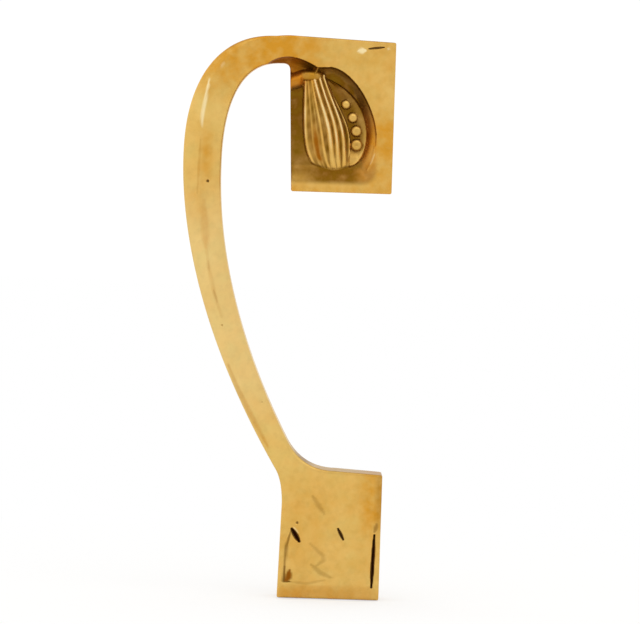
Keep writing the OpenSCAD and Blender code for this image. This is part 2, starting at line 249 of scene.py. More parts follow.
# Place of each rib across the pod at its top, middle and tip, its half width in mm and its strength
RIBS = (
    (0.08, 0.05, 0.04, 0.70, 0.80),
    (0.20, 0.20, 0.20, 0.50, 0.40),
    (0.30, 0.30, 0.30, 0.40, 0.30),
    (0.36, 0.39, 0.42, 0.55, 0.62),
    (0.48, 0.56, 0.56, 0.80, 1.00),
    (0.73, 0.71, 0.71, 0.72, 0.96),
    (0.94, 0.86, 0.87, 0.68, 0.90),
    (1.00, 0.99, 0.97, 0.45, 0.70),
)
# Flaws left by casting and use, and one line of painted shade along the bar's ridge: a path (x, z) in mm
# on the decorated face, its width and depth in mm, and how much dirt, brown tone and rust lies on it
Mark = namedtuple("Mark", "path width depth dirt tone rust", defaults=(0, 0, 0))
MARKS = (
    Mark([(-31.6, -73.3), (-28.9, -77.6)], 1.9, 0.9, 1.0),
    Mark([(-15.2, -72.7), (-13.2, -76.6)], 1.2, 0.6, 0.95),
    Mark([(-2.2, -74.6), (-2.7, -93.4)], 1.3, 0.9, 1.0),
    Mark([(-9.7, 98.05), (-4.3, 98.75)], 0.8, 0.5, 0.75),
    Mark([(-33.9, -86.6), (-34.1, -92.0), (-31.6, -92.1)], 1.0, 0.2, 0.3, 0.8),
    Mark([(-33.0, -91.6), (-32.3, -90.4), (-32.0, -88.2)], 2.4, 0.12, 0.28, 0.95, 0.7),
    Mark([(-31.9, -73.9), (-33.4, -79.5), (-33.9, -88.6)], 1.1, 0.15, 0.1, 0.6),
    Mark([(-24.6, -61.3), (-20.2, -67.6)], 1.9, 0.05, 0, 0.3),
    Mark([(-25.1, -78.2), (-20.1, -82.6), (-19.9, -84.1), (-22.6, -86.2)], 1.7, 0.05, 0, 0.26),
    Mark([(-24.3, -85.8), (-21.0, -88.6), (-17.2, -90.2)], 1.9, 0.05, 0, 0.3),
    Mark([(-31.4, -92.2), (-25.5, -92.6), (-19.5, -91.2)], 1.2, 0.04, 0, 0.2),
    Mark([(-1.3, -70.6), (-2.2, -73.4)], 1.9, 0.1, 0, 0.6),
    # Painted shade: a faint dark line along the facet's ridge, which makes the ridge show
    Mark([(-68.3, 64.0), (-68.6, 55.0), (-68.9, 45.0)], 1.1, 0.03, 0, 0.16, 0.3),
    Mark([(-66.7, 42.6), (-65.9, 32.7), (-65.2, 26.3)], 3.4, 0, 0, 0.1, 0.55),
    Mark([(-65.1, 25.9), (-63.9, 18.1), (-61.6, 9.2), (-58.9, 1.4)], 1.6, 0, 0, 0.1, 0.25),
    Mark([(-64.3, 21.4), (-63.8, 17.5)], 0.8, 0.03, 0, 0.25, 0.3),
    Mark([(-62.0, 10.8), (-60.6, 6.6)], 1.0, 0.03, 0, 0.3, 0.3),
    Mark(
        [(-56.2, -15.3), (-52.5, -23.7), (-49.0, -30.0), (-44.8, -37.8), (-41.1, -44.0)],
        1.9, 0, 0, 0.18, 0.4,
    ),
    Mark([(-29.8, -71.0)], 1.0, 0.4, 0.6),
    Mark([(-65.3, 49.5)], 1.0, 0.5, 0.7),
    Mark([(-43.6, -28.4)], 0.7, 0.2, 0.25),
    Mark([(-58.7, -1.5)], 0.6, 0.3, 0.3),
)
# Painted highlights: the streak down the bar's ridge and bright spots, each as a path (x, z) in mm on the
# decorated face with its width and strength
PaintedHighlight = namedtuple("PaintedHighlight", "path width strength")
PAINTED_HIGHLIGHTS = (
    PaintedHighlight([(-65.9, 85.3), (-66.9, 79.3), (-67.9, 73.4), (-68.3, 68.5)], 1.2, 0.65),
    PaintedHighlight([(-60.7, 92.0), (-62.2, 90.0)], 1.0, 0.25),
    PaintedHighlight([(-13.2, 97.2), (-11.0, 97.4)], 2.4, 0.7),
    PaintedHighlight([(-2.9, 98.3), (-2.6, 98.2)], 1.6, 0.3),
    PaintedHighlight([(-31.0, -72.6), (-29.4, -74.6)], 0.9, 0.3),
    PaintedHighlight([(-7.9, 57.2), (-6.4, 61.0)], 0.7, 0.25),
)
# A mark or a worn spot fades between these shares of its half width
MARK_REACH = (1.3, 0.4)
# Marks at least this deep get finer cells once, and twice, so far round them in mm
FAINT_DEPTH, GOUGE_DEPTH = 0.03, 0.3
MARK_ROOM, MARK_ROOM_FINE = 2.1, 1.5
# Orange tone of the polished face, from one place to another in mm, and on which side of the handle's
# middle: the arm, the lower foot, the top one, and their sides by the door and their lower ends
TONED = (
    {"x": (-14, -32), "z": (72, 92)},
    {"strength": 0.22, "z": (-48.2, -64.2)},
    {"strength": 0.3, "x": (-38, -34), "side": (0, 1)},
    {"strength": 0.8, "x": (-12, -4), "z": (82, 60), "side": (0, 1)},
    {"strength": 0.7, "x": (-45, -40), "z": (51.8, 46.8), "side": (0, 1)},
    {"strength": 0.95, "x": (-11, -3), "z": (-86.2, -66.2), "side": (0, -1)},
    {"strength": 0.5, "z": (-90, -96)},
)
# Brown tone on the lower foot's side by the door, in the same way
DOOR_SIDE = {"strength": 0.3, "x": (-3.2, -1.2), "z": (-76.2, -64.2), "side": (0, -1)}
# Orange spots on the bar's flank: strength, place and half size
FLANK_SPOTS = ((0.8, (-65.9, 60), (2.2, 8)), (0.6, (-68.2, 41.5), (2.6, 6)))
# Brown tone along the top edges, and the cells over which it fades out along the bar
RIM_TONE, RIM_FADE_CELLS = 0.42, 16
# Brown tone in the fillet's hollow: its strength, its middle from the door and the lower foot's top, and
# its reach, in mm
HOLLOW_TONE, HOLLOW_PLACE, HOLLOW_REACH = 0.75, (-29, 3), 6
# How much paler the bar is along its middle, over which heights that sets in from above and from below, in
# mm, and the corner (x, z) inside which the arm and the top foot lie
BAR_PALER, BAR_PALER_HIGH, BAR_PALER_LOW, ARM_CORNER = 0.16, (58, 28), (-46, -20), (-44, 44)


def sizes():
    """All driving sizes in millimetres, with the places that follow from them."""
    scene = bpy.context.scene
    s = SimpleNamespace(**millimetres(scene.handle_sizes), **millimetres(scene.pod_sizes))
    s.reach, s.half_t = -LOW.x / MM, HIGH.y / MM
    s.z_top, s.z_low = HIGH.z / MM, LOW.z / MM
    s.top_foot_z = s.z_top - s.top_foot_h
    s.low_foot_z = s.z_low + s.low_foot_h
    s.z_far, s.z_in = s.z_top - s.flank_drop, s.z_top - s.inner_drop
    s.x_in, s.arm_z = -s.reach + s.bar_w, s.z_top - s.arm_t
    s.root_x = -s.top_foot_d - s.root_r
    s.crown_run = s.reach - s.top_foot_d - s.arm_run
    s.sweep_h, s.sweep_run = s.z_far - s.low_foot_z, s.reach - s.low_foot_d - s.toe
    s.inner_h, s.inner_run = s.z_in - s.low_foot_z, s.reach - s.bar_w - s.inner_land
    s.stem = np.array([-s.stem_x, s.z_top - s.stem_drop])
    return s


def blend(start, end, share):
    """From start to end as share goes from 0 to 1."""
    return start + (end - start) * share


def steps(cells):
    """Evenly spaced shares from 0 to 1."""
    return np.linspace(0, 1, cells + 1)


def bezier(points, t):
    """Points on a line or a curve with two ends and the control points between them."""
    t = np.asarray(t, float)[:, None]
    points = [np.array(point, float) for point in points]
    while len(points) > 1:
        points = [blend(a, b, t) for a, b in zip(points, points[1:])]
    return points[0]


def crown(middle, corner, n, turn):
    """The part of a rounded rectangle of exponent n that lies towards one corner, at angles turn."""
    shares = np.stack([np.abs(np.cos(turn)) ** (2 / n), np.sin(turn) ** (2 / n)], axis=1)
    return blend(np.array(middle), np.array(corner), shares)


def outer_edge(s):
    """The outer edge by stretches: arm, crown, sweep, toe and the outer side of the lower foot."""
    high = (-s.reach, s.z_far + s.flank_drop - s.arm_fall)
    turn = np.pi / 2 * steps(CROWN_CELLS)[::-1]
    top = crown((-s.reach + s.crown_run, s.z_far), high, CROWN_N, turn)
    t = steps(SWEEP_CELLS)
    sweep = np.stack([-s.reach + s.sweep_run * t**SWEEP_POW, s.z_far - s.sweep_h * t], 1)
    toe_slope = SWEEP_POW * s.sweep_run / s.sweep_h
    toe_end = (-s.low_foot_d, s.low_foot_z - s.toe_h)
    toe_mid = (-s.low_foot_d, s.low_foot_z - s.toe / toe_slope)
    toe = bezier((sweep[-1], toe_mid, toe_end), steps(FILLET_CELLS))
    side = bezier((toe_end, (-s.low_foot_end_d, s.z_low)), steps(LEDGE_CELLS + MOUNT_CELLS))
    arm_bend = (-s.top_foot_d - s.arm_run / 2, s.z_top)
    arm = bezier(((-s.top_foot_d, s.z_top), arm_bend, top[0]), steps(ARM_CELLS))
    return [arm, top, sweep, toe, side]


def inner_edge(s):
    """The inner edge by stretches: root, crown, sweep, fillet, top of the lower foot and mounting face."""
    corner = (-s.top_foot_d, s.arm_z)
    root = bezier(
        ((-s.top_foot_d, s.arm_z - s.root_r), corner, (s.root_x, s.arm_z)), steps(ARM_CELLS)
    )
    turn = np.pi / 2 * steps(CROWN_CELLS)[::-1]
    top = crown((s.root_x, s.z_in), (s.x_in, s.arm_z), INNER_N, turn)
    stop = 1 - s.fillet_h / s.inner_h
    t = stop * steps(SWEEP_CELLS)
    sweep = np.stack([s.x_in + s.inner_run * t**INNER_POW, s.z_in - s.inner_h * t], 1)
    slope = INNER_POW * s.inner_run * stop ** (INNER_POW - 1) / s.inner_h
    middle = np.array([sweep[-1][0] + slope * s.fillet_h, s.low_foot_z])
    end = middle + [s.fillet_run, 0]
    fillet = bezier((sweep[-1], middle, end), steps(FILLET_CELLS))
    corner = (0, s.low_foot_z - s.ledge_fall)
    ledge = bezier((end, corner), steps(LEDGE_CELLS))
    mount = bezier((corner, (0, s.z_low)), steps(MOUNT_CELLS))
    return [root, top, sweep, fillet, ledge, mount]


def joined(stretches):
    """One path from stretches that share their end points."""
    return np.vstack([stretches[0]] + [stretch[1:] for stretch in stretches[1:]])


def spread(cells, width, edge):
    """Places 0 to 1 across a width, with the first and last cell edge wide."""
    e = np.broadcast_to(edge / width, np.shape(width))
    k = np.arange(cells + 1)
    inner = e[..., None] + (k - 1) / (cells - 2) * (1 - 2 * e[..., None])
    inner[..., 0], inner[..., -1] = 0, 1
    return inner


def deselect():
    """Leaves object mode with nothing selected."""
    if bpy.context.object and bpy.context.object.mode != "OBJECT":
        bpy.ops.object.mode_set(mode="OBJECT")
    bpy.ops.object.select_all(action="DESELECT")


def take(piece):
    """Selects one piece alone and makes it active."""
    deselect()
    piece.select_set(True)
    bpy.context.view_layer.objects.active = piece


def vertices(piece):
    """The piece's vertices in millimetres."""
    co = np.empty(len(piece.data.vertices) * 3)
    piece.data.vertices.foreach_get("co", co)
    return co.reshape(-1, 3) / MM


def place_vertices(piece, co):
    """Puts the piece's vertices at places in millimetres."""
    piece.data.vertices.foreach_set("co", (co * MM).ravel())
    piece.data.update()


def patch(name, columns, rows, place):
    """A grid whose vertices lie where place(column, row) says, in the plane of the decorated face."""
    deselect()
    bpy.ops.mesh.primitive_grid_add(x_subdivisions=columns, y_subdivisions=rows, size=2)
    sheet = bpy.context.object
    sheet.name = name
    across, up, _ = (vertices(sheet) * MM + 1).T / 2
    flat = place(np.rint(across * columns).astype(int), np.rint(up * rows).astype(int))
    place_vertices(sheet, np.stack([flat[:, 0], np.full(len(flat), LOW.y / MM), flat[:, 1]], 1))
    return sheet


def facet_widths(s, place):
    """Width of the facet at places along the crown and the sweep, counted in cells."""
    over = np.clip(place / CROWN_CELLS, 0, 1)
    down = np.clip((place - CROWN_CELLS) / SWEEP_CELLS, 0, 1)
    return s.facet_w * over * (1 - down**FADE_POW)


def ridge_share(s, outer, inner, plain):
    """How far across each line the facet's ridge lies, or plain where it is too narrow to show."""
    chord = inner - outer
    along = np.gradient(outer, axis=0)
    along /= np.linalg.norm(along, axis=1)[:, None]
    square = np.abs(chord[:, 0] * along[:, 1] - chord[:, 1] * along[:, 0])
    facet = facet_widths(s, np.arange(len(outer)) - ARM_CELLS)
    return blend(plain, facet / square, smooth(*RIDGE_WIDTHS, facet))


def bow_patch(s):
    """The bar and the lower foot: lines of vertices from the outer edge across to the inner one."""
    outer, inner = joined(outer_edge(s)), joined(inner_edge(s))
    stations = len(outer) - 1
    width = np.linalg.norm(inner - outer, axis=1)
    ledge_from = ARM_CELLS + CROWN_CELLS + SWEEP_CELLS
    slant = np.zeros(stations + 1)
    slant[ledge_from : ledge_from + FILLET_CELLS + LEDGE_CELLS + 1] = 1
    window = np.ones(2 * SLANT_LINES + 1) / (2 * SLANT_LINES + 1)
    slant = np.convolve(np.pad(slant, SLANT_LINES, mode="edge"), window, mode="valid")
    u = spread(ACROSS, width, EDGE_CELL * (1 + SLANT_GROWTH * slant))
    # One column of vertices follows the facet's ridge, which keeps it crisp
    plain = u[:, RIDGE_COLUMN].copy()
    ridge = ridge_share(s, outer, inner, plain)
    first, last = u[:, 1].copy(), u[:, -2].copy()
    for i in range(2, ACROSS - 1):
        near = (u[:, i] - first) / (plain - first)
        far = (u[:, i] - plain) / (last - plain)
        u[:, i] = np.where(near <= 1, blend(first, ridge, near), blend(ridge, last, far))

    def place(column, row):
        return blend(outer[row], inner[row], u[row, column][:, None])

    return patch("bow", ACROSS, stations, place)


def foot_patch(s):
    """The top foot: rows across it, of which the upper ones run on from the bar's lines."""
    arm_face = s.arm_t + s.root_r
    below = s.top_foot_h - arm_face
    low = np.linspace(0, 1, FOOT_ROWS)
    low = np.concatenate([[0], EDGE_CELL / below + low * (1 - EDGE_CELL / below)])
    high = 1 - spread(ACROSS, np.array(arm_face), EDGE_CELL)[::-1]
    left_z = np.concatenate(
        [s.top_foot_z + below * low, s.top_foot_z + below + arm_face * high[1:]]
    )
    rise = (left_z - s.top_foot_z) / s.top_foot_h
    right_z = s.top_foot_z + rise * (s.top_foot_h - s.top_fall)
    lean = np.clip(rise * s.top_foot_h / below, 0, 1)
    left_x = -s.top_foot_end_d + (s.top_foot_end_d - s.top_foot_d) * lean
    u = spread(FOOT_COLUMNS, np.array(s.top_foot_d), EDGE_CELL)

    def place(column, row):
        x = left_x[row] * (1 - u[column])
        return np.stack([x, blend(left_z[row], right_z[row], u[column])], 1)

    return patch("foot", FOOT_COLUMNS, len(left_z) - 1, place)


def cast_blank(s):
    """The outline at full thickness, with every edge rounded as polishing leaves it."""
    bow, foot = bow_patch(s), foot_patch(s)
    take(foot)
    bow.select_set(True)
    bpy.context.view_layer.objects.active = bow
    bpy.ops.object.join()
    blank = bpy.context.object
    blank.name = blank.data.name = "cast_handle"
    bpy.ops.object.mode_set(mode="EDIT")
    bpy.ops.mesh.select_all(action="SELECT")
    bpy.ops.mesh.remove_doubles(threshold=WELD * MM)
    step = (HIGH.y - LOW.y) / DEPTH_STEPS
    for _ in range(DEPTH_STEPS):
        bpy.ops.mesh.extrude_region_move(TRANSFORM_OT_translate={"value": (0, step, 0)})
    bpy.ops.mesh.select_all(action="SELECT")
    bpy.ops.mesh.normals_make_consistent(inside=False)
    bpy.ops.mesh.select_mode(type="EDGE")
    bpy.ops.mesh.select_all(action="DESELECT")
    bpy.ops.mesh.edges_select_sharp(sharpness=SHARP)
    bpy.ops.mesh.bevel(offset=s.edge_r * MM, segments=3, profile=0.5, affect="EDGES")
    bpy.ops.object.mode_set(mode="OBJECT")
    return blank


def keep(piece, name, values):
    """Keeps one number for each vertex, which the material reads by name."""
    layer = piece.data.attributes.new(name, "FLOAT", "POINT")
    layer.data.foreach_set("value", values.astype(np.float32))


def refine(piece, boxes):
    """Subdivides the decorated face inside boxes in the side view, where fine relief goes."""
    take(piece)
    bpy.ops.object.mode_set(mode="EDIT")
    bpy.ops.mesh.select_mode(type="FACE")
    bpy.ops.mesh.select_all(action="DESELECT")
    bpy.ops.object.mode_set(mode="OBJECT")
    faces = piece.data.polygons
    centres = np.empty(len(faces) * 3)
    faces.foreach_get("center", centres)
    x, y, z = centres.reshape(-1, 3).T / MM
    inside = np.zeros(len(faces), bool)
    for low, high in boxes:
        inside |= (x > low[0]) & (x < high[0]) & (z > low[1]) & (z < high[1])
    faces.foreach_set("select", inside & (y < LOW.y / MM + FACE_DEPTH))
    bpy.ops.object.mode_set(mode="EDIT")
    bpy.ops.mesh.subdivide(number_cuts=FINER_CUTS)
    bpy.ops.object.mode_set(mode="OBJECT")


def mark_boxes(room, least_depth):
    """A box round each mark that is at least so deep, with room on every side."""
    return [
        (np.min(mark.path, 0) - room, np.max(mark.path, 0) + room)
        for mark in MARKS
        if mark.depth >= least_depth
    ]


def distance_to_path(p, path):
    """Distance from each point to a path, and how far along the path its nearest point is."""
    best = np.full(len(p), np.inf)
    place = np.zeros(len(p))
    for i in range(len(path) - 1):
        a, d = path[i], path[i + 1] - path[i]
        t = np.clip(((p - a) @ d) / (d @ d), 0, 1)
        gap = np.linalg.norm(p - a - t[:, None] * d, axis=1)
        near = gap < best
        best[near] = gap[near]
        place[near] = i + t[near]
    return best, place


def soft_ramp(value, soft):
    """max(value, 0) with its corner rounded."""
    return (value + np.sqrt(value * value + soft * soft) - soft * np.exp(-np.abs(value) / soft)) / 2


def smooth(low, high, value):
    """0 below low, 1 above high and an even curve between them."""
    t = np.clip((value - low) / (high - low), 0, 1)
    return t * t * (3 - 2 * t)


def fade(at, strength=1, **ranges):
    """The strength, setting in from one place to another along each of the coordinates named."""
    for name, (start, end) in ranges.items():
        strength = strength * smooth(start, end, at[name])
    return strength


def hump(distance, half_width):
    """1 at distance 0, falling away evenly over about half_width."""
    return np.exp(-((distance / half_width) ** 2))


def edge_depths(s, p):
    """How far both faces lie below full thickness along the bar's edges and round the lower foot."""
    _, crown, sweep, _, side = outer_edge(s)
    gap, place = distance_to_path(p, joined([crown, sweep]))
    depth = soft_ramp((facet_widths(s, place) - gap) * math.tan(s.facet_slope), FACET_SOFT)
    _, inner_crown, inner_sweep, fillet, _, mount = inner_edge(s)
    soft_path = joined([inner_crown, inner_sweep, fillet])
    gap, place = distance_to_path(p, soft_path)
    share = np.clip(place / (len(soft_path) - 1), 0, 1)
    width = s.soft_w * np.sqrt(np.sin(np.pi * share))
    depth = np.maximum(depth, soft_ramp((width - gap) * math.tan(s.facet_slope), INNER_SOFT))
    for path, bevel in (
        (side[[0, -1]], s.foot_bevel_w),
        (np.array([side[-1], (0, s.z_low)]), s.base_bevel_w),
        (mount[[-1, 0]], s.foot_bevel_w),
    ):
        gap, _ = distance_to_path(p, path)
        depth = np.maximum(depth, soft_ramp((bevel - gap) * math.tan(s.bevel_slope), BEVEL_SOFT))
    return depth


def pocket_rim(s):
    """The pocket's outline, open past the side of the foot and under the root of the arm."""
    right, bottom = -s.pocket_side, s.top_foot_z + s.pocket_low
    top = s.z_top - s.pocket_top
    arch_z, arch_x = top - s.arch_h, s.stem[0] + ARCH_START * s.stem_w
    left = -s.top_foot_d - OPEN_RUN
    arch = crown((arch_x, arch_z), (right, top), ARCH_N, np.pi / 2 * steps(ARCH_CELLS))
    turn = (right - POCKET_CORNER, bottom), (right, bottom), (right, bottom + POCKET_CORNER)
    lower_corner = bezier(turn, steps(CORNER_CELLS))
    start = (s.stem[0] + ROOT_START[0], top + ROOT_START[1])
    peak = (-s.top_foot_d - s.root_r / 2, s.arm_z + 2 * s.root_rise)
    end = (s.root_x - s.root_run, s.arm_z - ROOT_END_DROP)
    root = bezier((start, peak, end), steps(ROOT_CELLS))
    open_side = [(end[0], s.arm_z - OPEN_RUN), (left, s.arm_z - OPEN_RUN)]
    return np.vstack([[(left, bottom)], lower_corner, arch, root, open_side])


def inside_distance(p, ring):
    """Distance from each point to a closed ring, positive inside it."""
    closed = np.vstack([ring, ring[:1]])
    gap, _ = distance_to_path(p, closed)
    inside = np.zeros(len(p), bool)
    for a, b in zip(closed[:-1], closed[1:]):
        if a[1] == b[1]:
            continue
        crosses = (a[1] > p[:, 1]) != (b[1] > p[:, 1])
        x = a[0] + (p[:, 1] - a[1]) / (b[1] - a[1]) * (b[0] - a[0])
        inside ^= crosses & (p[:, 0] < x)
    return np.where(inside, gap, -gap)


def pod_lines(s):
    """Left and right side of the ribs, run on past the tip, and the husk's outer edge."""
    size = np.array([s.pod_w, s.pod_l])
    half = np.array([s.stem_w / 2, 0])
    lines = []
    for start, controls in ((-half, POD_LEFT), (half, POD_RIGHT), (half + HUSK_START * size, POD_HUSK)):
        ends = [start, *(np.array(controls) * size)]
        lines.append(s.stem + bezier(ends, steps(POD_CELLS)))
    left, right, husk_edge = lines
    past = [np.vstack([side, side[-1] + (side[-1] - side[-2]) * TIP_RUN]) for side in (left, right)]
    return past[0], past[1], husk_edge


def at_height(curve, z):
    """Where a curve that runs downwards is at each height."""
    falling = np.minimum.accumulate(curve[:, 1]) - np.arange(len(curve)) * 1e-6
    return np.interp(-z, -falling, curve[:, 0])


def wall(s, p):
    """Share of the pocket's depth at each point, and the tone and rust on its wall and floor."""
    base = s.top_foot_z + s.pocket_low
    inset = inside_distance(p, pocket_rim(s))
    at = {"x": p[:, 0], "z": p[:, 1], "up": p[:, 1] - base, "inset": inset}
    # The wall is crisp under its arch, turns into a long soft slope along the foot, and is broader
    # and shallower by the door
    arch = fade(at, up=(4, 17))
    by_door = fade(at, x=(-15, -9)) * hump(at["up"] - 14, 12)
    share = np.clip(inset / blend(s.foot_run, s.wall_run * blend(1, 1.4, by_door), arch), 0, 1)
    at["share"] = share
    lip = blend(0.3, 0.1, by_door)
    curve = 1 - (1 - share) ** blend(1.6, 1.1, by_door)
    crisp = blend(curve, fade(at, share=(0, 0.14)), lip)
    sunk = blend(fade(at, share=(0, 1)), crisp, arch)
    # Painted shade just under the rim, brown tone on the wall, and the darkest painted shadow on the floor
    # at its upper left, under the root of the arm
    # Painted shade: a dark band just under the rim, where the wall falls away from the light
    dark = 0.3 * hump(share - 0.08, 0.12)
    on_wall = (0.78 + dark) * fade(at, share=(0, 0.05))
    on_slope = fade(at, 0.95, inset=(-1.3, 1.1))
    on_floor = 0.82 + fade(at, 0.18, up=(6, 26))
    tone = blend(blend(on_slope, on_wall, arch), on_floor, fade(at, share=(0.6, 1)))
    open_side = fade(at, 0.35, x=(-24, -34), up=(7, 1))
    # Painted shadow: the corner under the root of the arm, darker than the tone anywhere else
    root = fade(at, 1.12, x=(-24, -28), z=(88.4, 90.2), share=(0.05, 0.3))
    tone = np.maximum(tone * (1 - open_side), root)
    door_rust = by_door * fade(at, share=(1, 0.6))
    rust = np.maximum(door_rust, fade(at, 0.55, x=(-30, -36), z=(85, 89)))
    # A thin raised line runs down the wall into the lower corner, painted paler as a highlight
    crease_path = (-s.pocket_side, base) + np.array([(-0.6, 13), (-1.4, 8), (-3, 4.8)])
    crease = hump(distance_to_path(p, crease_path)[0], 0.4)
    return sunk - 0.06 * crease, tone * (1 - 0.5 * crease) * (1 - 0.66 * door_rust), rust


def ripple(t, v, *beats):
    """Waves down (t) and across (v) the pod, uneven because those of several beats are multiplied."""
    return np.prod([np.sin(down * t + across * v) for down, across in beats], axis=0)


def ribs(s, p, floor):
    """Height, tone, rust, and rubbing with painted highlight of the pod's ribbed side, and how far outside
    it each point lies.
    """
    x, z = p.T
    left, right, _ = pod_lines(s)
    x_left, x_right = at_height(left, z), at_height(right, z)
    width = np.maximum(x_right - x_left, LEAST_RIBBED)
    # v runs across the ribs from left to right and t down them from the stem to the tip
    v = (x - x_left) / width
    bow = TIP_BOW * np.sin(np.pi * np.clip(v, 0, 1))
    end = s.stem[1] - (blend(TIP_LEFT, TIP_RIGHT, v) + bow) * s.pod_l
    outside = np.maximum(np.maximum(-v, v - 1) * width, end - z)
    t = np.clip((s.stem[1] - z) / (s.stem[1] - end), 0, 1)
    here = (outside < 0) & (z < s.stem[1] + 1)
    at_stem = blend(0.62, 1, np.sin(np.pi / 2 * np.clip(t / 0.35, 0, 1)))
    at_tip = (1 - t**5) ** 0.6
    dome = np.sqrt(np.clip(1 - np.abs(2 * v - 1) ** 2.6, 0, 1))
    crest = np.zeros(len(p))
    for top, middle, low, half_w, strength in RIBS:
        place = bezier(([top], [2 * middle - (top + low) / 2], [low]), t)[:, 0]
        rib = hump((v - place) * width, half_w * blend(0.75, 1.05, smooth(0, 0.5, t)))
        # Chasing by hand has left each rib a little uneven along its length
        uneven = 1 + 0.2 * ripple(t, place, (21, 40), (9, 17))
        crest = np.maximum(crest, strength * rib * uneven)
    height = ((floor - s.rib_h) * dome + s.rib_h * crest) * at_stem * at_tip
    at = {"v": v, "t": t, "crest": crest}
    groove = 0.72 + fade(at, 0.3, v=(0.38, 0.6)) + 0.16 * ripple(t, v, (16, 23), (31, 0))
    groove = groove * (1 - fade(at, crest=(0.08, 0.62))) * (1 - fade(at, 0.08, t=(0.5, 0.9)))
    # Red brown tone fills the valley at the lower left, and painted shade darkens the tip and the left
    # side, where they turn under
    valley = hump(v - 0.26, 0.07) * smooth(0.42, 0.7, t) * smooth(0.97, 0.88, t)
    tone = np.max([groove, 1.1 * valley, fade(at, 0.9, t=(0.955, 1))], axis=0)
    tone = tone + fade(at, 0.3, v=(0.06, 0))
    # Painted highlight, partly rubbed wear: the crests are paler towards the stem
    rubbed = fade(at, 0.45, crest=(0.55, 1), t=(0.95, 0.5))
    return here, height, tone, 0.6 * valley, rubbed, outside


def husk(s, p):
    """Height and tone of the open husk: a channel for the seeds, a broad blade and a thin rim."""
    x, z = p.T
    _, right, outer = pod_lines(s)
    x_right, x_outer = at_height(right, z), at_height(outer, z)
    width = np.maximum(x_outer - x_right, LEAST_HUSK)
    # w runs across from the ribs, t down from the stem to the tip, and away is in from the outer edge
    w = (x - x_right) / width
    t = (s.stem[1] - z) / (TIP_RIGHT * s.pod_l)
    away = (1 - w) * width
    at = {"w": w, "t": t, "away": away}
    here = (w >= -0.3) & (w < 1) & (t > 0) & (t < 1)
    tip = fade(at, t=(0.78, 0.95))
    blade = blend(CHANNEL_H, s.husk_h, np.maximum(fade(at, w=(0.3, 0.85)), tip))
    rim = 0.3 * hump(away - 0.7, 0.35)
    fall = np.sqrt(np.clip(away / 0.6, 0, 1))
    at_stem = 0.55 + fade(at, 0.45, t=(0, 0.3))
    at_tip = np.sqrt(1 - np.clip(t, 0, 1) ** 8)
    under_ribs = fade(at, w=(-0.3, -0.03))
    height = (blade + rim) * fall * at_stem * at_tip * under_ribs
    on_blade = fade(at, 0.25, w=(0.3, 0.8), t=(0.1, 0.5))
    on_low_rim = fade(at, 0.4, t=(0.45, 0.7)) * hump(away - 0.9, 0.7)
    # Painted shade: a dark line along the husk's outer edge, where it meets the pocket's floor
    dirt = 0.3 * hump(away - 0.1, 0.35)
    tone = 0.95 - on_blade - on_low_rim - 0.62 * tip + dirt
    return here, height, np.clip(tone, 0, 1.1)


def seeds(s, p):
    """Height and tone of the row of seeds, of which the last is rubbed hollow, and of the swelling below.
    """
    row = s.stem + np.array(SEED_ROW) * (s.pod_w, s.pod_l)
    height, tone = np.zeros(len(p)), np.zeros(len(p))
    for i in range(SEED_COUNT):
        share = i / SEED_COUNT
        r = blend(s.seed_d, s.seed_big_d, share) / 2
        gap = np.linalg.norm(p - bezier(row, [share])[0], axis=1)
        ball = CHANNEL_H + 0.3 * r + 0.8 * np.sqrt(np.clip(r * r - gap * gap, 0, None))
        hollow = hump(gap, 0.4 * r) * (i / (SEED_COUNT - 1)) ** 1.5
        height = np.maximum(height, np.where(gap < r, ball - 0.6 * hollow, 0))
        # Darker in a ring round each seed, towards each seed's edge, and in the hollow of the last one
        on_seed = 0.06 + 0.6 * smooth(0.45, 1, gap / r) + 0.45 * hollow
        ring = 0.85 * hump(gap - r, 0.45)
        tone = np.maximum(tone, np.where(gap < r, on_seed, ring))
    return height, tone, hump(np.linalg.norm(p - row[-1], axis=1), 3.2)


def collar(s, p, floor):
    """Height, tone and rust of the knob that the pod hangs from, and of its bridges to the arm."""
    x, z = p.T
    centre = s.stem + KNOB_PLACE
    along, across = (np.abs(p - centre) / KNOB_HALF).T
    knob = np.sqrt(np.clip(1 - along**2.6 - across**2.2, 0, 1))
    # A lower ledge runs at a slant from the knob to the open side of the foot
    up = z - centre[1]
    slant = up + 0.35 * (centre[0] - x)
    on_foot = smooth(-s.top_foot_d - s.root_r, -s.top_foot_d + 0.4, x)
    ledge = np.clip(1 - (np.abs(slant) / 3.2) ** 2, 0, 1) * smooth(-31, -34, x) * on_foot
    bridge = hump(distance_to_path(p, centre + ((1.4, 0.8), (2.6, 3.2)))[0], 0.9) * (np.abs(up) < 4.2)
    high = floor - 0.5
    height = np.max([high * knob, 0.75 * floor * ledge, high * bridge], axis=0)
    # Painted shade: the knob darkens towards its edge and over its upper half, under the arm
    tone = 0.36 + 0.7 * (1 - knob) + 0.35 * smooth(0.2, 1.8, up)
    tone = np.where(0.75 * ledge > knob, 0.62, tone)
    tone = np.where(bridge > np.maximum(knob, ledge), 0.6, tone)
    return height, np.clip(tone, 0, 1), 0.9 * smooth(0.2, 0.8, ledge)


